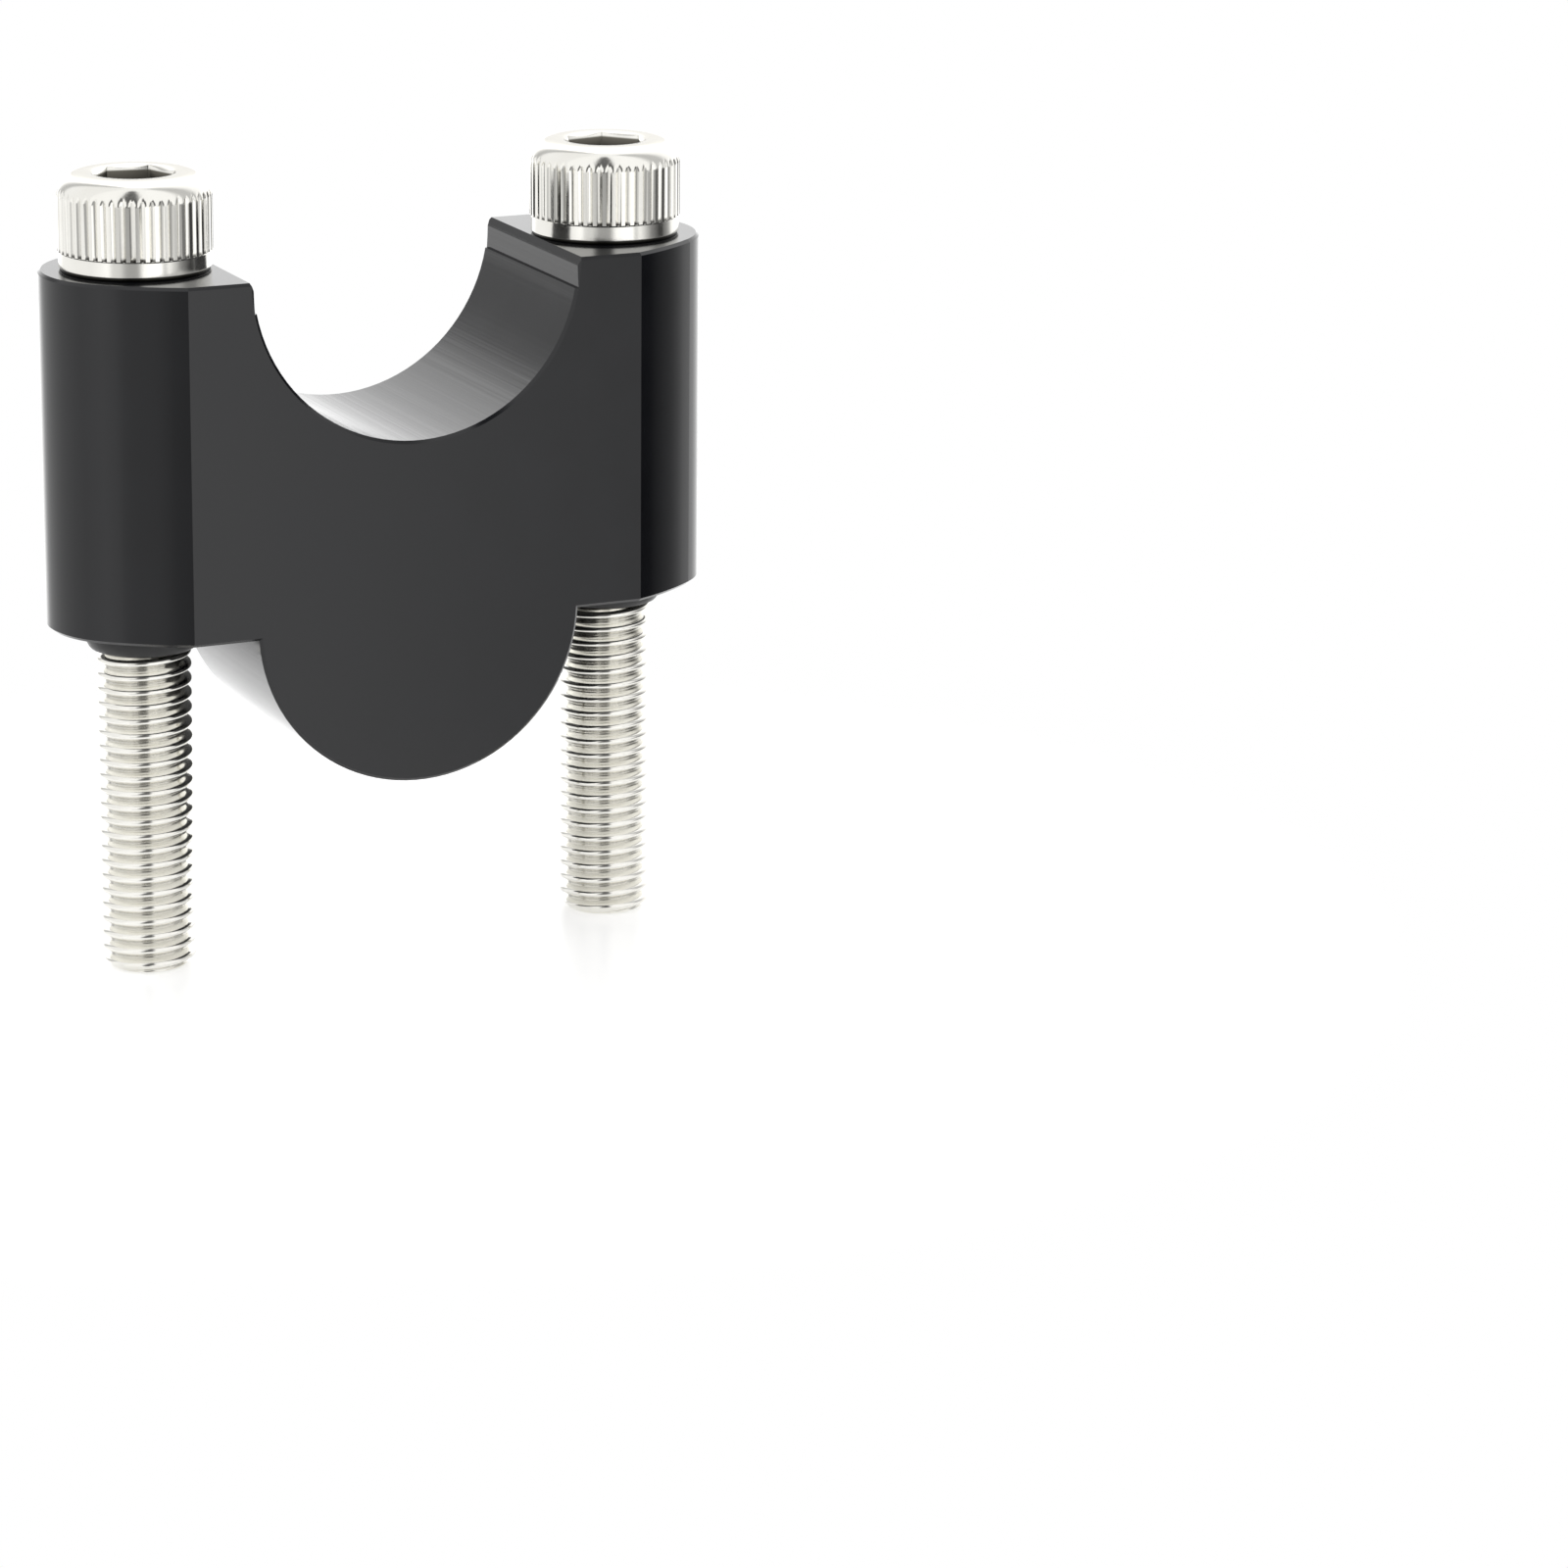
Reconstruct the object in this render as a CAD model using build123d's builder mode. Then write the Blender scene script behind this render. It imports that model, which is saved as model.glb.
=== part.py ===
from build123d import *
from math import acos, atan2, degrees, hypot
import os

# A riser for a 28.6 mm handlebar. It stands in the old bar clamp on its half-round nose and
# carries the bar 30 mm higher, and two long cap screws hold it down.
# X runs from screw to screw, Y along the bar, Z up. Z = 0 is the seat on the old clamp.

# Riser body
bar_diameter = 28.6            # the handlebar where it is clamped
rise = 30.0                    # seat to top face
body_thickness = 20.0          # along the bar
wall_to_hole = 2.45            # metal between the saddle and each screw's hole
end_radius = 8.0               # round ends, about each screw
shoulder_radius = 25.4         # slight curve from the flat faces round to the ends
flat_stops_short = 1.0         # the flat faces end this far before the screws' axes
nose_lift = 0.8                # the nose's axis above the seat, so that it fills the old clamp
relief_depth = 2.6             # straight walls at the mouth of the bar saddle
lip_width = 0.35               # slanted lip at the top of those walls
lip_height = 0.7
edge_break = 0.25              # small chamfer on the outside edges

# M8 socket head cap screws
bolt_diameter = 8.0
bolt_length = 60.0             # under the head
thread_below_ring = 0.3        # the thread starts this far under the rubber ring
shank_diameter = 7.2           # reduced above the thread, so that the ring keeps the screw in
head_diameter = 12.8
head_height = 8.0
head_top_chamfer = 1.2
head_base_chamfer = 0.4
key_size = 6.0                 # across the flats of the socket
socket_depth = 4.8
mouth_clearance = 0.6          # countersink at the socket's mouth, beyond the key's flats
mouth_depth = 0.5
plain_band = 1.0               # ungrooved foot of the head, above its base chamfer
grip_grooves = 50
groove_depth = 0.22
groove_size = 0.34             # half the diagonal of the groove's diamond cutter
tip_chamfer = 0.8
hole_clearance = 0.25          # round the thread, in the body

# Thin steel washers, and the rubber rings that keep the screws in the body
washer_thickness = 0.3
washer_inset = 0.1             # washer inside the head's edge
washer_clearance = 0.2
ring_height = 1.9
ring_overhang = 0.9            # how far the ring stands out beyond the thread
ring_taper = 0.5               # the ring narrows towards its foot
ring_shoulder = 0.2            # and is broken round its top edge
ring_clearance = 0.02

# Derived
bar_radius = bar_diameter / 2
bolt_radius = bolt_diameter / 2
hole_radius = bolt_radius + hole_clearance
head_radius = head_diameter / 2
mouth_radius = key_size / 2 + mouth_clearance
washer_radius = head_radius - washer_inset
bolt_x = bar_radius + wall_to_hole + hole_radius
half_thickness = body_thickness / 2
flat_end = bolt_x - flat_stops_short
to_corner = hypot(flat_stops_short, half_thickness)    # from a screw's axis
end_angle = degrees(            # how far round the end its circle runs into the shoulder's
    atan2(half_thickness, -flat_stops_short)
    - acos(
        (2 * shoulder_radius * end_radius - to_corner**2 - end_radius**2)
        / (2 * (shoulder_radius - end_radius) * to_corner)
    )
)
relief_z = rise - relief_depth
head_base = rise + washer_thickness
head_top = head_base + head_height
groove_bottom = head_base + head_base_chamfer + plain_band
bolt_tip = head_base - bolt_length
thread_top = -ring_height - thread_below_ring
shank_radius = shank_diameter / 2
ring_inside = shank_radius + ring_clearance
ring_outside = bolt_radius + ring_overhang
near = 0.01                    # for telling edges apart

os.makedirs("parts", exist_ok=True)


def save(solid, name):
    solid.label = name
    export_step(solid, f"parts/{name}.step")


# The body: flat in the middle, with shoulders that curve away to the round ends
with BuildPart() as riser_body:
    with BuildSketch(Plane.XY):
        with BuildLine():
            end = CenterArc((bolt_x, 0), end_radius, 0, end_angle)
            shoulder = TangentArc(end @ 1, (flat_end, half_thickness), tangent=end % 1)
            Line(shoulder @ 1, (0, half_thickness))
            mirror(about=Plane.XZ)
            mirror(about=Plane.YZ)
        make_face()
    extrude(amount=rise)

    # half-round nose, right through the thickness
    with BuildSketch(Plane.XZ):
        with Locations((0, nose_lift)):
            Circle(bar_radius)
    extrude(amount=half_thickness, both=True)

    # bar saddle: half a bore for now, with its edges, the nose's and the seat's broken
    with BuildSketch(Plane.XZ):
        with Locations((0, rise)):
            Circle(bar_radius)
    extrude(amount=half_thickness, both=True, mode=Mode.SUBTRACT)
    arcs = [
        edge for face in riser_body.faces().filter_by(Axis.Y)
        for edge in face.edges().filter_by(GeomType.CIRCLE)
    ]
    seat_outline = [
        edge for face in riser_body.faces().filter_by_position(Axis.Z, -near, near)
        for edge in face.edges()
        if abs(edge.center().X) > bar_radius
    ]
    chamfer(arcs + seat_outline, length=edge_break)

    # straight relieved walls at the saddle's mouth, with slanted lips
    with BuildSketch(Plane.XZ):
        with BuildLine():
            Polyline(
                (bar_radius + lip_width, rise),
                (bar_radius, rise - lip_height),
                (bar_radius, relief_z),
                (-bar_radius, relief_z),
                (-bar_radius, rise - lip_height),
                (-bar_radius - lip_width, rise),
                close=True,
            )
        make_face()
    extrude(amount=half_thickness, both=True, mode=Mode.SUBTRACT)
    top_outline = [
        edge for face in riser_body.faces().filter_by_position(Axis.Z, rise - near, rise + near)
        for edge in face.edges()
        if abs(edge.center().X) > bar_radius + lip_width + near
    ]
    chamfer(top_outline, length=edge_break)

    # clearance holes for the two screws
    with BuildSketch(Plane.XY):
        with Locations((-bolt_x, 0), (bolt_x, 0)):
            Circle(hole_radius)
    extrude(amount=rise, mode=Mode.SUBTRACT)

save(riser_body.part, "riser_body")

for side, x in (("left", -bolt_x), ("right", bolt_x)):
    # Cap screw: head with fine upright grip grooves over a plain foot, hexagon socket, a long
    # shank and a thicker thread
    with BuildPart() as bolt:
        with BuildSketch(Plane.XY.offset(head_base)):
            with Locations((x, 0)):
                Circle(head_radius)
        extrude(amount=head_height)
        chamfer(bolt.edges().group_by(Axis.Z)[-1], length=head_top_chamfer)
        chamfer(bolt.edges().group_by(Axis.Z)[0], length=head_base_chamfer)

        with BuildSketch(Plane.XY.offset(groove_bottom)):
            with Locations((x, 0)):
                with PolarLocations(head_radius - groove_depth + groove_size, grip_grooves):
                    RegularPolygon(groove_size, 4)
        extrude(amount=head_height, mode=Mode.SUBTRACT)

        with BuildSketch(Plane.XY.offset(head_top)):
            with Locations((x, 0)):
                RegularPolygon(key_size / 2, 6, major_radius=False)
        extrude(amount=-socket_depth, mode=Mode.SUBTRACT)
        with BuildSketch(Plane.XY.offset(head_top)):
            with Locations((x, 0)):
                Circle(mouth_radius)
        extrude(amount=-mouth_depth, taper=45, mode=Mode.SUBTRACT)

        with BuildSketch(Plane.XY.offset(head_base)):
            with Locations((x, 0)):
                Circle(shank_radius)
        extrude(amount=bolt_tip - head_base)
        with BuildSketch(Plane.XY.offset(bolt_tip)):
            with Locations((x, 0)):
                Circle(bolt_radius)
        extrude(amount=thread_top - bolt_tip)
        chamfer(bolt.edges().group_by(Axis.Z)[0], length=tip_chamfer)
    save(bolt.part, f"bolt_{side}")

    # Thin flat washer between the head and the body
    with BuildPart() as washer:
        with BuildSketch(Plane.XY.offset(rise)):
            with Locations((x, 0)):
                Circle(washer_radius)
                Circle(bolt_radius + washer_clearance, mode=Mode.SUBTRACT)
        extrude(amount=washer_thickness)
    save(washer.part, f"washer_{side}")

    # Rubber ring round the shank above the thread, flat against the seat, narrower at its foot
    with BuildPart() as retaining_ring:
        with BuildSketch(Plane((x, 0, 0), x_dir=(1, 0, 0), z_dir=(0, -1, 0))):
            with BuildLine():
                Polyline(
                    (ring_inside, 0),
                    (ring_outside - ring_shoulder, 0),
                    (ring_outside, -ring_shoulder),
                    (ring_outside, -ring_height / 2),
                    (ring_outside - ring_taper, -ring_height),
                    (ring_inside, -ring_height),
                    close=True,
                )
            make_face()
        revolve(axis=Axis((x, 0, 0), (0, 0, 1)))
    save(retaining_ring.part, f"retaining_ring_{side}")
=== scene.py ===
from math import cos, pi, radians, sin

import bmesh
import bpy
from mathutils import Matrix, Vector


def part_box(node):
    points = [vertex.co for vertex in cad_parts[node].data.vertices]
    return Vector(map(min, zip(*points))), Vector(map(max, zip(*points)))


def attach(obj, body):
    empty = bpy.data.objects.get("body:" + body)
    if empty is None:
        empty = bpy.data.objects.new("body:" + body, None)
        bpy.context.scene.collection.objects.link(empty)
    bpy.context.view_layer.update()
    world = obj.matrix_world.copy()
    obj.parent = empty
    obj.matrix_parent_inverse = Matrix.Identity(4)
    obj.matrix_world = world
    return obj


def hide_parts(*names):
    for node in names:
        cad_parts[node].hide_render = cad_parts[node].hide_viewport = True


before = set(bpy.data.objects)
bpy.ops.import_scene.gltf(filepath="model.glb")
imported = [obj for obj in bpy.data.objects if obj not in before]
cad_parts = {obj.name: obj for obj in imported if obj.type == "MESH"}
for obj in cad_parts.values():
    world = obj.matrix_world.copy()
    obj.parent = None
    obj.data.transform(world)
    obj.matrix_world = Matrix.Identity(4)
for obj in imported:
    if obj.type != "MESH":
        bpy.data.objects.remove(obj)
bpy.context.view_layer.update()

# A handlebar riser: a black anodised block with a bar saddle, on two long M8 cap screws.
# Lengths are in millimetres, and are turned to metres where the scene takes them.
MM = 0.001

# Block and washers
saddle_radius = 14.3
rise = 30.0                    # height of the block's top face
washer_thickness = 0.3
washer_radius = 6.17
washer_hole = 4.2
washer_edge = 0.05             # its outer edges are rounded by this much

# Threads and shanks of the screws
thread_pitch = 1.25
thread_end = -1.8              # inside the rubber ring
runout = 0.45                  # height over which the thread fades into the plain shank
tip_radius = 3.2
shank_radius = 3.6
neck_fillet = 0.15             # between the shank and the head
shank_points = 100             # round the shank

# Heads of the screws
head_base = rise + washer_thickness
head_height = 8.0
head_lowered = 0.3             # the head's top below the solid's, as it looks in the photograph
head_top = head_base + head_height - head_lowered
head_radius = 6.4
foot_radius = 6.3              # plain foot of the head, below the grooves
foot_edge = 0.08               # rounding of the foot's lower edge
skirt = 0.05                   # the foot reaches down this far round its washer
head_grooves = 50
groove_foot = head_base + 1.36
groove_width = 0.48
groove_depth = 0.17
points_per_groove = 6          # so the head has three points to each of the shank's
rim_rounding = 2.0
rim_rows = 24
flat_top_radius = 4.1
socket_flats = 6.0
socket_depth = 4.8
socket_mouth = 3.55            # radius of the countersink
countersink_slope = 0.6
drill_radius = 2.55            # the socket is drilled before it is pressed
drill_point = 1.1              # its rounded point reaches this far below the socket's bottom

crisp_corner = 38              # degrees; corners sharper than this aren't smoothed over


def linear(colour):
    """An sRGB hex colour as the linear one that a shader takes."""
    parts = [int(colour[i:i + 2], 16) / 255 for i in (1, 3, 5)]
    return [p / 12.92 if p <= 0.04045 else ((p + 0.055) / 1.055) ** 2.4 for p in parts] + [1.0]


def node(tree, kind, inputs=None, **settings):
    """Adds a node. Each input is a plain value, or the socket of another node to link from."""
    made = tree.nodes.new(kind)
    for name, value in settings.items():
        setattr(made, name, value)
    for socket, value in (inputs or {}).items():
        if isinstance(value, bpy.types.NodeSocket):
            tree.links.new(value, made.inputs[socket])
        else:
            made.inputs[socket].default_value = value
    return made


def new_material(name):
    """An empty material, its node tree and its output node."""
    material = bpy.data.materials.new(name)
    material.use_nodes = True
    tree = material.node_tree
    tree.nodes.clear()
    return material, tree, node(tree, "ShaderNodeOutputMaterial")


def feed_lines(tree, place, spot):
    """Height of the cutter's feed lines, in the saddle and, fainter, on the nose.

    The real lines are about 0.05 mm apart. These are coarser, so that they show, and lie in
    slow bands.
    """
    line_spacing = 0.25
    line_length = 40           # along the bar, where the block is 20 thick
    band_width = 1.5
    band_length = 60

    # between the round ends, off the flat faces, and stronger towards the saddle
    across = node(tree, "ShaderNodeMath", {0: spot.outputs["X"]}, operation="ABSOLUTE")
    between = node(tree, "ShaderNodeMath",
                   {0: across.outputs[0], 1: (saddle_radius + 0.05) * MM}, operation="LESS_THAN")
    facing = node(tree, "ShaderNodeSeparateXYZ", {0: place.outputs["Normal"]})
    flat_face = node(tree, "ShaderNodeMath", {0: facing.outputs["Y"]}, operation="ABSOLUTE")
    off_flat = node(tree, "ShaderNodeMath", {0: flat_face.outputs[0], 1: 0.4},
                    operation="LESS_THAN")
    bored = node(tree, "ShaderNodeMath", {0: between.outputs[0], 1: off_flat.outputs[0]},
                 operation="MULTIPLY")
    strength = node(tree, "ShaderNodeMapRange",
                    {"Value": spot.outputs["Z"], "From Min": 0.0, "From Max": 14 * MM,
                     "To Min": 0.25, "To Max": 1.0})
    shown = node(tree, "ShaderNodeMath", {0: bored.outputs[0], 1: strength.outputs[0]},
                 operation="MULTIPLY")

    # deep bands of fine lines, both drawn out along the bar
    across_line = 1 / (line_spacing * MM)
    line_place = node(tree, "ShaderNodeMapping", {0: place.outputs["Object"],
                      "Scale": (across_line, 1 / (line_length * MM), across_line)})
    lines = node(tree, "ShaderNodeTexNoise",
                 {"Vector": line_place.outputs[0], "Scale": 1.0, "Detail": 1.0})
    across_band = 1 / (band_width * MM)
    band_place = node(tree, "ShaderNodeMapping", {0: place.outputs["Object"],
                      "Scale": (across_band, 1 / (band_length * MM), across_band)})
    bands = node(tree, "ShaderNodeTexNoise",
                 {"Vector": band_place.outputs[0], "Scale": 1.0, "Detail": 2.0})
    deep_bands = node(tree, "ShaderNodeMath", {0: bands.outputs["Fac"], 1: 5.0},
                      operation="MULTIPLY")
    cut = node(tree, "ShaderNodeMath", {0: lines.outputs["Fac"], 1: deep_bands.outputs[0]},
               operation="ADD")
    height = node(tree, "ShaderNodeMath", {0: cut.outputs[0], 1: shown.outputs[0]},
                  operation="MULTIPLY")
    return height.outputs[0]


def black_anodised_aluminium():
    """6061 bar milled all over, then dyed black under a clear oxide film.

    The dye takes nearly all the light, with a trace of blue, and the film gives an even gloss.
    """
    material, tree, output = new_material("black_anodised_aluminium")
    place = node(tree, "ShaderNodeTexCoord")
    spot = node(tree, "ShaderNodeSeparateXYZ", {0: place.outputs["Object"]})

    # the oxide's own grain, 0.08 mm, and slow unevenness of the dye, 6 mm
    grain = node(tree, "ShaderNodeTexNoise",
                 {"Vector": place.outputs["Object"], "Scale": 1 / (0.08 * MM), "Detail": 2.0})
    cloud = node(tree, "ShaderNodeTexNoise",
                 {"Vector": place.outputs["Object"], "Scale": 1 / (6 * MM), "Detail": 3.0})
    dye = node(tree, "ShaderNodeMix", {0: cloud.outputs["Fac"],
               6: linear("#08090c"), 7: linear("#121318")}, data_type="RGBA")
    gloss = node(tree, "ShaderNodeMapRange",
                 {"Value": cloud.outputs["Fac"], "From Min": 0.3, "From Max": 0.7,
                  "To Min": 0.11, "To Max": 0.15})
    grain_bump = node(tree, "ShaderNodeBump",
                      {"Height": grain.outputs["Fac"], "Strength": 0.12, "Distance": 0.01 * MM})
    line_bump = node(tree, "ShaderNodeBump",
                     {"Height": feed_lines(tree, place, spot), "Strength": 0.5,
                      "Distance": 0.02 * MM, "Normal": grain_bump.outputs[0]})
    film = node(tree, "ShaderNodeBsdfPrincipled",
                {"Base Color": dye.outputs[2], "Metallic": 0.0, "IOR": 1.5,
                 "Roughness": gloss.outputs[0], "Normal": line_bump.outputs[0]})
    tree.links.new(film.outputs[0], output.inputs["Surface"])
    return material


def inside_socket(tree, spot, off_axis):
    """1 inside the hexagon socket: nearer the axis than its mouth, below the top, in the head."""
    near_axis = node(tree, "ShaderNodeMath", {0: off_axis, 1: (socket_mouth - 0.02) * MM},
                     operation="LESS_THAN")
    deep = node(tree, "ShaderNodeMapRange",
                {"Value": spot.outputs["Z"], "From Min": (head_top - 0.48) * MM,
                 "From Max": (head_top - 0.34) * MM, "To Min": 1.0, "To Max": 0.0})
    within = node(tree, "ShaderNodeMath", {0: near_axis.outputs[0], 1: deep.outputs[0]},
                  operation="MULTIPLY")
    in_head = node(tree, "ShaderNodeMath", {0: spot.outputs["Z"], 1: head_base * MM},
                   operation="GREATER_THAN")
    mask = node(tree, "ShaderNodeMath", {0: within.outputs[0], 1: in_head.outputs[0]},
                operation="MULTIPLY")
    return mask.outputs[0]


def shade_at_groove_feet(tree, spot, off_axis):
    """Painted shade at the foot of each groove, up to 0.26 mm above it and just inside the edge.
    """
    in_groove = node(tree, "ShaderNodeMath", {0: off_axis, 1: (head_radius - 0.03) * MM},
                     operation="LESS_THAN")
    over_foot = node(tree, "ShaderNodeMath", {0: spot.outputs["Z"], 1: groove_foot * MM},
                     operation="SUBTRACT")
    from_foot = node(tree, "ShaderNodeMath", {0: over_foot.outputs[0]}, operation="ABSOLUTE")
    at_foot = node(tree, "ShaderNodeMapRange",
                   {"Value": from_foot.outputs[0], "From Min": 0.08 * MM, "From Max": 0.26 * MM,
                    "To Min": 0.75, "To Max": 0.0})
    not_below = node(tree, "ShaderNodeMath", {0: over_foot.outputs[0], 1: -0.03 * MM},
                     operation="GREATER_THAN")
    pool = node(tree, "ShaderNodeMath", {0: not_below.outputs[0], 1: at_foot.outputs[0]},
                operation="MULTIPLY")
    mask = node(tree, "ShaderNodeMath", {0: in_groove.outputs[0], 1: pool.outputs[0]},
                operation="MULTIPLY")
    return mask.outputs[0]


def stainless_steel(name, colour, shaded, roughness, scratch_size):
    """A2 stainless, cold formed and barrel polished.

    It mirrors what stands round it, softened by tumbling marks. The bottoms of the grooves and
    thread are painted greyer and the grooves' feet darker, as painted shade. The hexagon socket
    keeps its dull, warm grey skin, with painted shade darker further down.
    """
    material, tree, output = new_material(name)
    place = node(tree, "ShaderNodeTexCoord")
    spot = node(tree, "ShaderNodeSeparateXYZ", {0: place.outputs["Object"]})
    flat = node(tree, "ShaderNodeVectorMath", {0: place.outputs["Object"], 1: (1, 1, 0)},
                operation="MULTIPLY")
    off_axis = node(tree, "ShaderNodeVectorMath", {0: flat.outputs[0]},
                    operation="LENGTH").outputs["Value"]
    socket = inside_socket(tree, spot, off_axis)

    # polish in soft patches 2.5 mm wide, painted shade in the hollows, darker at the grooves'
    # feet
    patches = node(tree, "ShaderNodeTexNoise",
                   {"Vector": place.outputs["Object"], "Scale": 1 / (2.5 * MM), "Detail": 2.0})
    polish = node(tree, "ShaderNodeMix", {0: patches.outputs["Fac"],
                  6: linear(shaded), 7: linear(colour)}, data_type="RGBA")
    open_to_light = node(tree, "ShaderNodeAmbientOcclusion", {"Distance": 0.35 * MM},
                         samples=6, only_local=True)
    unshaded_share = node(tree, "ShaderNodeMapRange",
                   {"Value": open_to_light.outputs["AO"], "From Min": 0.25, "From Max": 0.8})
    hollows_shaded = node(tree, "ShaderNodeMix", {0: unshaded_share.outputs[0], 6: linear("#8d8a82"),
                7: polish.outputs[2]}, data_type="RGBA")
    groove_feet_shaded = node(tree, "ShaderNodeMix", {0: shade_at_groove_feet(tree, spot, off_axis),
                 6: hollows_shaded.outputs[2], 7: linear("#2b2a27")}, data_type="RGBA")

    # the socket's dull skin, darkened further down as painted shade
    depth = node(tree, "ShaderNodeMapRange",
                 {"Value": spot.outputs["Z"], "From Min": (head_top - 1.5) * MM,
                  "From Max": (head_top - 0.4) * MM})
    socket_skin_and_shade = node(tree, "ShaderNodeMix", {0: depth.outputs[0], 6: linear("#383633"),
                7: linear("#6a675f")}, data_type="RGBA")
    tone = node(tree, "ShaderNodeMix", {0: socket, 6: groove_feet_shaded.outputs[2], 7: socket_skin_and_shade.outputs[2]},
                data_type="RGBA")

    # tumbling marks, and the socket's rougher walls
    marks = node(tree, "ShaderNodeTexNoise",
                 {"Vector": place.outputs["Object"], "Scale": 1 / (scratch_size * MM),
                  "Detail": 3.0, "Roughness": 0.6})
    rubbed = node(tree, "ShaderNodeMapRange",
                  {"Value": marks.outputs["Fac"], "From Min": 0.3, "From Max": 0.7,
                   "To Min": roughness * 0.8, "To Max": roughness * 1.3})
    gloss = node(tree, "ShaderNodeMix", {0: socket, 2: rubbed.outputs[0], 3: 0.33},
                 data_type="FLOAT")
    bump = node(tree, "ShaderNodeBump",
                {"Height": marks.outputs["Fac"], "Strength": 0.15, "Distance": 0.01 * MM})

    # the head's flat end is left as it was pressed: its fine pits take light at a low angle
    pressed = node(tree, "ShaderNodeMapRange",
                   {"Value": spot.outputs["Z"], "From Min": (head_top - 0.25) * MM,
                    "From Max": (head_top - 0.1) * MM})
    low_angle = node(tree, "ShaderNodeMix", {0: pressed.outputs[0], 6: linear("#ffffff"),
                     7: linear("#c9c8c6")}, data_type="RGBA")
    steel = node(tree, "ShaderNodeBsdfPrincipled",
                 {"Base Color": tone.outputs[2], "Metallic": 1.0,
                  "Specular Tint": low_angle.outputs[2],
                  "Roughness": gloss.outputs[0], "Normal": bump.outputs[0]})
    tree.links.new(steel.outputs[0], output.inputs["Surface"])
    return material


def black_rubber():
    """Nitrile rubber, moulded. Deep black with a dull shine and a faint bloom."""
    material, tree, output = new_material("black_nitrile_rubber")
    place = node(tree, "ShaderNodeTexCoord")
    bloom = node(tree, "ShaderNodeTexNoise",
                 {"Vector": place.outputs["Object"], "Scale": 1 / (0.9 * MM), "Detail": 3.0})
    skin = node(tree, "ShaderNodeTexNoise",
                {"Vector": place.outputs["Object"], "Scale": 1 / (0.12 * MM), "Detail": 2.0})
    tone = node(tree, "ShaderNodeMix", {0: bloom.outputs["Fac"],
                6: linear("#070708"), 7: linear("#131314")}, data_type="RGBA")
    gloss = node(tree, "ShaderNodeMapRange",
                 {"Value": bloom.outputs["Fac"], "From Min": 0.3, "From Max": 0.7,
                  "To Min": 0.32, "To Max": 0.5})
    bump = node(tree, "ShaderNodeBump",
                {"Height": skin.outputs["Fac"], "Strength": 0.15, "Distance": 0.01 * MM})
    rubber = node(tree, "ShaderNodeBsdfPrincipled",
                  {"Base Color": tone.outputs[2], "Metallic": 0.0, "IOR": 1.52,
                   "Roughness": gloss.outputs[0], "Normal": bump.outputs[0]})
    tree.links.new(rubber.outputs[0], output.inputs["Surface"])
    return material


def add_piece(name, points, faces, material, replaced, x):
    """Makes a smooth closed mesh from points in mm, and sets it in the frame for a CAD node."""
    mesh = bpy.data.meshes.new(name)
    mesh.from_pydata([tuple(length * MM for length in point) for point in points], [], faces)
    weld = 0.0005 * MM
    shape = bmesh.new()
    shape.from_mesh(mesh)
    bmesh.ops.remove_doubles(shape, verts=shape.verts, dist=weld)
    bmesh.ops.dissolve_degenerate(shape, edges=shape.edges, dist=weld)
    bmesh.ops.recalc_face_normals(shape, faces=shape.faces)
    shape.to_mesh(mesh)
    shape.free()
    mesh.shade_smooth()
    mesh.set_sharp_from_angle(angle=radians(crisp_corner))
    mesh.materials.append(material)
    piece = bpy.data.objects.new(name, mesh)
    bpy.context.scene.collection.objects.link(piece)
    piece.location = (x * MM, 0, 0)
    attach(piece, "root")
    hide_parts(replaced)


def strip(lower, upper):
    """Faces between two rings of point numbers that run the same way round."""
    count = len(lower)
    return [(lower[i], lower[(i + 1) % count], upper[(i + 1) % count], upper[i])
            for i in range(count)]


# One turn of the thread as (height above the crest, radius). It is rolled, so its crest is full
# and round and its root narrow.
crest_to_root = [(0.0, 3.985), (0.08, 3.974), (0.16, 3.93), (0.24, 3.845), (0.32, 3.71),
                 (0.40, 3.54), (0.48, 3.375), (0.55, 3.27)]
thread_turn = crest_to_root + [(thread_pitch / 2, 3.238)] + [
    (thread_pitch - height, radius) for height, radius in reversed(crest_to_root[1:])]

# Angles of the points round the shank, and round the head, where they lie on the grooves: three
# in each V and three over the land beside it
shank_angles = [2 * pi * i / shank_points for i in range(shank_points)]
groove_shape = [0.0, 0.68, 1.0, 0.68, 0.0, 0.0]
pitch_angle = 2 * pi / head_grooves
groove_half = groove_width / 2 / head_radius
over_groove = [-groove_half, -groove_half / 2, 0.0, groove_half / 2, groove_half,
               pitch_angle / 2]
head_points = head_grooves * points_per_groove
head_angles = [(i // points_per_groove) * pitch_angle + over_groove[i % points_per_groove]
               for i in range(head_points)]


def thread_radius(turns):
    """Radius of the full thread this many turns above a crest."""
    height = (turns % 1.0) * thread_pitch
    steps = thread_turn + [(thread_pitch, thread_turn[0][1])]
    for (low, low_radius), (high, high_radius) in zip(steps, steps[1:]):
        if height <= high:
            return low_radius + (high_radius - low_radius) * (height - low) / (high - low)
    return thread_turn[0][1]


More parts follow.
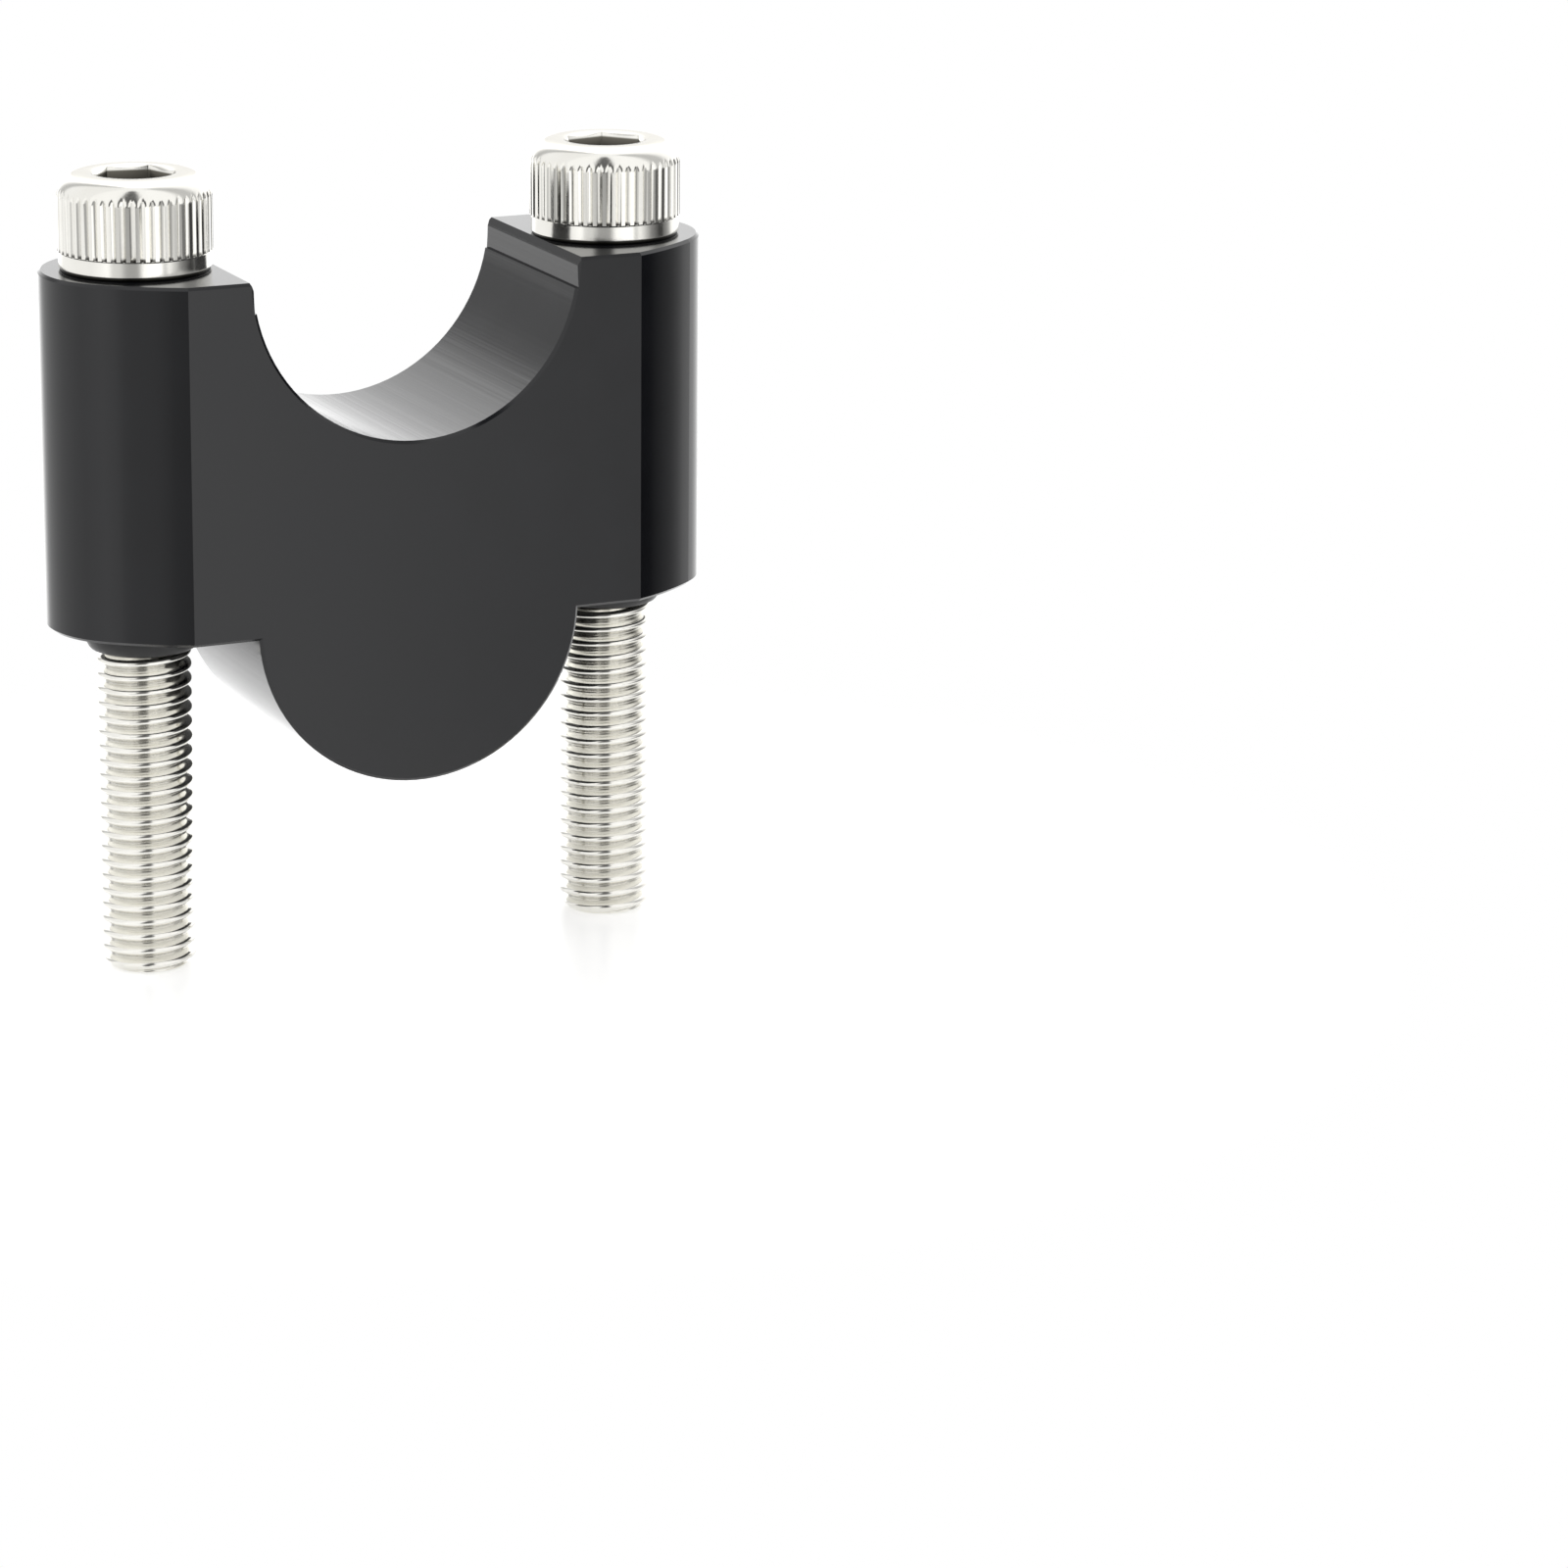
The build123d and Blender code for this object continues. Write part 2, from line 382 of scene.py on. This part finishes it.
def add_thread(points, faces, tip, thread_top, turn):
    """The thread: a sheet that climbs one pitch in each turn, trimmed level at both ends.

    It adds its points and faces, and returns the point numbers of its lowest and highest rows.
    """
    rows = []
    per_turn = len(thread_turn)
    turns = int((thread_top - tip) / thread_pitch) + 2
    for row in range(-per_turn, turns * per_turn):
        step, part = divmod(row, per_turn)
        line = []
        for i in range(shank_points):
            climb = i / shank_points
            height = tip + (step + climb) * thread_pitch + thread_turn[part][0]
            level = min(max(height, tip), thread_top)
            radius = thread_turn[part][1]
            if level != height:
                radius = thread_radius((level - tip) / thread_pitch - climb)
            radius = min(radius, tip_radius + level - tip)
            fade = max(0.0, 1 - (thread_top - level) / runout)
            radius += (shank_radius - radius) * fade
            angle = shank_angles[i] + turn
            line.append(len(points))
            points.append((radius * cos(angle), radius * sin(angle), level))
        rows.append(line)

    # the last face of each row joins the start of the row one turn up
    last = len(rows) - 1
    for j in range(last):
        for i in range(shank_points - 1):
            faces.append((rows[j][i], rows[j][i + 1], rows[j + 1][i + 1], rows[j + 1][i]))
        here, above = min(j + per_turn, last), min(j + 1 + per_turn, last)
        faces.append((rows[j][-1], rows[here][0], rows[above][0], rows[j + 1][-1]))
    return rows[0], rows[last]


def head_profile(top):
    """The head's outside from its washer to the flat top: (radius, height, depth of grooves).

    The grooves run straight up, and end where the rounded rim draws in past their depth. Close
    rows on either side of the grooves' foot keep the plain band and the lands smooth.
    """
    lip = head_base - skirt
    rows = [(washer_radius + 0.01, head_base, 0), (washer_radius + 0.015, lip, 0)]
    for degrees_round in range(30, 91, 15):
        turned = radians(degrees_round)
        rows.append((foot_radius - foot_edge * (1 - sin(turned)),
                     lip + foot_edge * (1 - cos(turned)), 0))
    rows += [(foot_radius - 0.002, lip + foot_edge + 0.05, 0),
             (foot_radius - 0.045, groove_foot - 0.2, 0),
             (foot_radius - 0.047, groove_foot - 0.15, 0),
             (foot_radius - 0.03, groove_foot - 0.12, 0),
             (head_radius - 0.03, groove_foot - 0.06, 0),
             (head_radius, groove_foot - 0.03, 0.3),
             (head_radius, groove_foot, 1.25),
             (head_radius, groove_foot + 0.15, 1.25),
             (head_radius, groove_foot + 0.4, 1)]
    rim = top - rim_rounding
    for i in range(rim_rows + 1):
        turned = radians(90 / rim_rows * i)
        rows.append((head_radius - rim_rounding * (1 - cos(turned)),
                     rim + rim_rounding * sin(turned), 1))
    return rows


def socket_profile(top):
    """Flat top, countersunk mouth and hexagon socket with a drilled bottom: (radii, heights)."""
    hexagon = []
    for angle in head_angles:
        off_flat = (angle + pi / 6) % (pi / 3) - pi / 6
        hexagon.append(socket_flats / 2 / cos(off_flat))
    mouth = [top - (socket_mouth - radius) * countersink_slope for radius in hexagon]
    bottom = top - socket_depth
    return [
        ([flat_top_radius] * head_points, [top] * head_points),
        ([socket_mouth + 0.05] * head_points, [top] * head_points),
        ([socket_mouth - 0.03] * head_points, [top - 0.03] * head_points),
        ([h + 0.02 for h in hexagon], [m + 0.01 for m in mouth]),
        ([h - 0.01 for h in hexagon], [m - 0.03 for m in mouth]),
        ([h - 0.03 for h in hexagon], [bottom + 0.1] * head_points),
        ([h - 0.12 for h in hexagon], [bottom] * head_points),
        ([drill_radius] * head_points, [bottom - 0.05] * head_points),
        ([1.2] * head_points, [bottom - 0.75] * head_points),
    ]


def add_screw(name, tip, top, thread_top, material, replaced, x, turn):
    """An M8 socket head cap screw, from the tip up, over the head and down into the socket."""
    points, faces = [], []

    def ring(angles, radii, heights):
        """Adds a ring of points round the axis; returns their numbers."""
        first = len(points)
        for angle, radius, height in zip(angles, radii, heights):
            points.append((radius * cos(angle + turn), radius * sin(angle + turn), height))
        return list(range(first, len(points)))

    def shank_ring(radius, height):
        """A level ring round the shank; returns its points' numbers."""
        return ring(shank_angles, [radius] * shank_points, [height] * shank_points)

    lowest, highest = add_thread(points, faces, tip, thread_top, turn)

    # tip: a flat end, slightly hollow as the blank is cropped
    edge = lowest
    for radius, lift in ((2.6, 0.0), (2.2, 0.12)):
        inner = shank_ring(radius, tip + lift)
        faces.extend(strip(inner, edge))
        edge = inner
    points.append((0.0, 0.0, tip + 0.16))
    faces.extend((len(points) - 1, edge[(i + 1) % shank_points], edge[i])
                 for i in range(shank_points))

    # plain shank, inside the block, with a fillet under the head
    neck = shank_ring(shank_radius, head_base - neck_fillet)
    faces.extend(strip(highest, neck))
    under = shank_ring(shank_radius + neck_fillet, head_base)
    faces.extend(strip(neck, under))

    # head: each step round the shank's last ring meets three round the head's first
    previous = None
    for radius, height, depth in head_profile(top):
        radii = []
        for i in range(head_points):
            cut = groove_depth * depth * groove_shape[i % points_per_groove]
            radii.append(min(radius, head_radius - cut))
        current = ring(head_angles, radii, [height] * head_points)
        if previous is None:
            for k in range(shank_points):
                here, after = under[k], under[(k + 1) % shank_points]
                out = [current[(3 * k + n) % head_points] for n in range(4)]
                faces.extend([(here, out[1], out[0]), (here, after, out[2], out[1]),
                              (after, out[3], out[2])])
        else:
            faces.extend(strip(previous, current))
        previous = current

    # socket, closed by the point of the drill
    for radii, heights in socket_profile(top):
        current = ring(head_angles, radii, heights)
        faces.extend(strip(previous, current))
        previous = current
    points.append((0.0, 0.0, top - socket_depth - drill_point))
    faces.extend((previous[i], previous[(i + 1) % head_points], len(points) - 1)
                 for i in range(head_points))
    add_piece(name, points, faces, material, replaced, x)


def add_turned_ring(name, section, material, replaced, x, count=180):
    """A closed section of (radius, height) swept round the screw's axis."""
    points, faces, rings = [], [], []
    for radius, height in section:
        first = len(points)
        for i in range(count):
            angle = 2 * pi * i / count
            points.append((radius * cos(angle), radius * sin(angle), height))
        rings.append(list(range(first, first + count)))
    for here, after in zip(rings, rings[1:] + rings[:1]):
        faces.extend(strip(here, after))
    add_piece(name, points, faces, material, replaced, x)


def washer_section():
    """Flat washer on the block, its outer edges a little rounded."""
    outside, edge, top = washer_radius, washer_edge, rise + washer_thickness
    return [(washer_hole, rise), (outside - edge, rise), (outside - edge / 3, rise + edge / 3),
            (outside, rise + edge), (outside, top - edge), (outside - edge / 3, top - edge / 3),
            (outside - edge, top), (washer_hole, top)]


# Rubber ring, squeezed round: flat against the seat, bulging most a third of the way down, and
# drawn in to the thread
rubber_section = [(3.65, 0.0), (3.65, -1.75), (3.75, -1.92), (3.95, -2.0), (4.25, -2.0),
                  (4.42, -1.93), (4.56, -1.76), (4.7, -1.48), (4.82, -1.15), (4.89, -0.8),
                  (4.9, -0.5), (4.85, -0.2), (4.75, 0.0)]

# The washers are the screws' steel, rougher and painted dark all over: painted shade standing
# in for the shaded gap under the heads.
anodised = black_anodised_aluminium()
polished = stainless_steel("polished_stainless_steel", colour="#f4f3ee", shaded="#eae8e1",
                           roughness=0.13, scratch_size=0.15)
shade_dark_steel = stainless_steel("stainless_steel_painted_dark", colour="#34332f", shaded="#252421",
                          roughness=0.3, scratch_size=0.1)
rubber = black_rubber()

# The block keeps its solid from the frame.
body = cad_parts["riser_body"]
body.data.materials.clear()
body.data.materials.append(anodised)

# Screws, each turned as in the photograph, with washers under their heads and rubber rings
# under the block
for side, turn in (("left", radians(19.2)), ("right", radians(41))):
    low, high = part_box(f"bolt_{side}")
    x = (low[0] + high[0]) / 2 / MM
    add_screw(f"cap_screw_{side}", tip=low[2] / MM, top=high[2] / MM - head_lowered,
              thread_top=thread_end, material=polished, replaced=f"bolt_{side}", x=x,
              turn=turn)
    add_turned_ring(f"flat_washer_{side}", washer_section(), shade_dark_steel,
                    f"washer_{side}", x)
    add_turned_ring(f"rubber_ring_{side}", rubber_section, rubber,
                    f"retaining_ring_{side}", x)


def pale_floor():
    """Smooth white card: lit from above, with a faint wet-looking shine.

    The camera sees it as white with the riser's shadow on it. In mirrors its far side glows
    with a painted sheen for the tent's lit back wall. It throws no extra light on the riser.
    """
    material, tree, output = new_material("pale_floor")
    rays = node(tree, "ShaderNodeLightPath")
    place = node(tree, "ShaderNodeTexCoord")
    spot = node(tree, "ShaderNodeSeparateXYZ", {0: place.outputs["Object"]})
    # painted sheen: mirrors see the card glow brighter towards its far side
    shine = node(tree, "ShaderNodeMapRange",
                 {"Value": spot.outputs["Y"], "From Min": 20 * MM, "From Max": 40 * MM,
                  "To Min": 0.4, "To Max": 0.75})
    mirrored = node(tree, "ShaderNodeMath",
                    {0: shine.outputs[0], 1: rays.outputs["Is Glossy Ray"]},
                    operation="MULTIPLY")
    lift = node(tree, "ShaderNodeMix", {0: rays.outputs["Is Camera Ray"],
                2: mirrored.outputs[0], 3: 0.4}, data_type="FLOAT")
    card = node(tree, "ShaderNodeBsdfPrincipled",
                {"Base Color": linear("#efefef"), "Roughness": 0.24, "IOR": 1.45})
    glow = node(tree, "ShaderNodeEmission", {"Color": linear("#ffffff"),
                "Strength": lift.outputs[0]})
    bright = node(tree, "ShaderNodeAddShader", {0: card.outputs[0], 1: glow.outputs[0]})

    # it fades out into the backdrop from 45 to 90 mm off the middle
    flat = node(tree, "ShaderNodeVectorMath", {0: place.outputs["Object"], 1: (1, 1, 0)},
                operation="MULTIPLY")
    reach = node(tree, "ShaderNodeVectorMath", {0: flat.outputs[0]}, operation="LENGTH")
    fade = node(tree, "ShaderNodeMapRange",
                {"Value": reach.outputs["Value"], "From Min": 45 * MM, "From Max": 90 * MM},
                interpolation_type="SMOOTHSTEP")
    clear = node(tree, "ShaderNodeBsdfTransparent")
    mixed = node(tree, "ShaderNodeMixShader",
                 {0: fade.outputs[0], 1: bright.outputs[0], 2: clear.outputs[0]})
    tree.links.new(mixed.outputs[0], output.inputs["Surface"])
    return material


# Floor: a round sheet, just under the screws' tips
floor_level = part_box("bolt_left")[0][2] - 0.02 * MM
floor_radius = 500 * MM
spokes = 96
sheet = bpy.data.meshes.new("floor")
sheet.from_pydata(
    [(floor_radius * cos(2 * pi * i / spokes), floor_radius * sin(2 * pi * i / spokes),
      floor_level) for i in range(spokes)], [], [tuple(range(spokes))])
sheet.materials.append(pale_floor())
floor = bpy.data.objects.new("floor", sheet)
bpy.context.scene.collection.objects.link(floor)

# What the riser mirrors, by compass angle from +X. Below the horizon is the table round it, with
# a dark flag at -15 that draws the edge of the right-hand end. Above stand the tent's walls:
# white cloth, lit from behind at 55 to 95, with a dark opening for the camera at -115.
table_tones = ((-180, 0.95), (-160, 1.08), (-150, 1.20), (-147.5, 1.08), (-145, 0.82),
               (-141, 0.74), (-131, 0.72), (-127, 0.60), (-123, 0.46), (-118, 0.42), (-105, 0.42),
               (-101, 0.80), (-97, 1.20), (-72, 1.44), (-69.5, 1.36), (-66.5, 0.80), (-63, 0.66),
               (-58, 1.10), (-45, 0.55), (-37, 0.24), (-20, 0.04), (-13, 0.03), (-9, 0.16),
               (1, 0.32), (8, 0.60), (13, 1.10), (30, 1.38), (80, 1.88), (92, 1.92),
               (105, 1.24), (114, 1.04), (180, 0.98))
wall_tones = ((-180, 1.10), (-133, 1.10), (-128, 0.36), (-123, 0.13), (-105, 0.13), (-101, 0.36),
              (-96, 1.10), (-40, 1.10), (-26, 0.60), (-8, 0.60), (5, 1.10), (56, 1.76),
              (72, 1.68), (91, 1.66), (96, 1.50), (100, 1.27), (104, 0.94), (108, 0.66),
              (113, 0.54), (118, 0.57), (124, 1.00))
ceiling_tone = 1.05
brightest = 1.92
light_on_riser = 0.6           # plain and even; the camera sees 1, which is white


def tone_ramp(tree, around, tones):
    """A ramp with these (compass angle, tone) stops, as a share of the brightest one."""
    ramp = node(tree, "ShaderNodeValToRGB", {0: around})
    stops = ramp.color_ramp.elements
    while len(stops) < len(tones):
        stops.new(0.5)
    for stop, (compass, tone) in zip(stops, tones):
        stop.position = (compass + 180) / 360
        share = tone / brightest
        stop.color = (share, share, share, 1)
    return ramp.outputs[0]


def white_tent():
    """Light tent: white to the camera, a plain level of light on the riser, tones in mirrors."""
    world = bpy.data.worlds.new("white_tent")
    bpy.context.scene.world = world
    world.use_nodes = True
    tree = world.node_tree
    tree.nodes.clear()
    output = node(tree, "ShaderNodeOutputWorld")
    rays = node(tree, "ShaderNodeLightPath")
    place = node(tree, "ShaderNodeTexCoord")
    towards = node(tree, "ShaderNodeSeparateXYZ", {0: place.outputs["Generated"]})
    compass = node(tree, "ShaderNodeMath", {0: towards.outputs["Y"], 1: towards.outputs["X"]},
                   operation="ARCTAN2")
    around = node(tree, "ShaderNodeMapRange", {"Value": compass.outputs[0],
                  "From Min": -pi, "From Max": pi})

    # the table's far edge is blurred from 7 degrees below the horizon to 2 above it
    horizon = node(tree, "ShaderNodeMapRange",
                   {"Value": towards.outputs["Z"], "From Min": sin(radians(-7)),
                    "From Max": sin(radians(2))}, interpolation_type="SMOOTHSTEP")
    lower = node(tree, "ShaderNodeMix", {0: horizon.outputs[0],
                 6: tone_ramp(tree, around.outputs[0], table_tones),
                 7: tone_ramp(tree, around.outputs[0], wall_tones)}, data_type="RGBA")

    # from 74 to 88 degrees up the walls give way to a white ceiling
    overhead = node(tree, "ShaderNodeMapRange",
                    {"Value": towards.outputs["Z"], "From Min": sin(radians(74)),
                     "From Max": sin(radians(88))}, interpolation_type="SMOOTHSTEP")
    share = ceiling_tone / brightest
    tent = node(tree, "ShaderNodeMix", {0: overhead.outputs[0], 6: lower.outputs[2],
                7: (share, share, share, 1)}, data_type="RGBA")
    tones = node(tree, "ShaderNodeVectorMath", {0: tent.outputs[2], "Scale": brightest},
                 operation="SCALE")

    # what each kind of ray meets: the camera's white, the plain light, and tones in mirrors
    plain = node(tree, "ShaderNodeMix", {0: rays.outputs["Is Camera Ray"],
                 6: (light_on_riser, light_on_riser, light_on_riser, 1), 7: (1, 1, 1, 1)},
                 data_type="RGBA")
    seen = node(tree, "ShaderNodeMix", {0: rays.outputs["Is Glossy Ray"], 6: plain.outputs[2],
                7: tones.outputs[0]}, data_type="RGBA")
    back = node(tree, "ShaderNodeBackground", {"Color": seen.outputs[2], "Strength": 1.0})
    tree.links.new(back.outputs[0], output.inputs["Surface"])


def add_softbox(name, place, aim, width, height, brightness):
    """A flat lamp of that size, as bright as the number, where 1 is white; mirrors miss it."""
    place, aim = Vector(place) * MM, Vector(aim) * MM
    lamp = bpy.data.lights.new(name, "AREA")
    lamp.shape = "RECTANGLE"
    lamp.size = width * MM
    lamp.size_y = height * MM
    lamp.energy = brightness * pi * (width * MM) * (height * MM)
    box = bpy.data.objects.new(name, lamp)
    bpy.context.scene.collection.objects.link(box)
    box.location = place
    box.rotation_euler = (aim - place).to_track_quat("-Z", "Y").to_euler()
    box.visible_camera = False
    box.visible_glossy = False


white_tent()
add_softbox("overhead_softbox", place=(-50, -50, 500), aim=(0, 0, 0), width=600, height=600,
            brightness=1.0)

# Camera where the photographer stood: half a metre off, to the left and a little above
camera_place = (-179.094, -458.834, 124.167)
turned_right = 25.357          # degrees, as the next two
tilted_down = 15.935
rolled = 0.540
lens = bpy.data.cameras.new("camera")
lens.lens = 136.985
lens.sensor_width = 36.0
lens.clip_start = 10 * MM
camera = bpy.data.objects.new("camera", lens)
bpy.context.scene.collection.objects.link(camera)
camera.matrix_world = (
    Matrix.Translation(Vector(camera_place) * MM)
    @ Matrix.Rotation(radians(-turned_right), 4, "Z")
    @ Matrix.Rotation(radians(90 - tilted_down), 4, "X")
    @ Matrix.Rotation(radians(rolled), 4, "Z"))
bpy.context.scene.camera = camera
bpy.context.scene.view_settings.view_transform = "Standard"
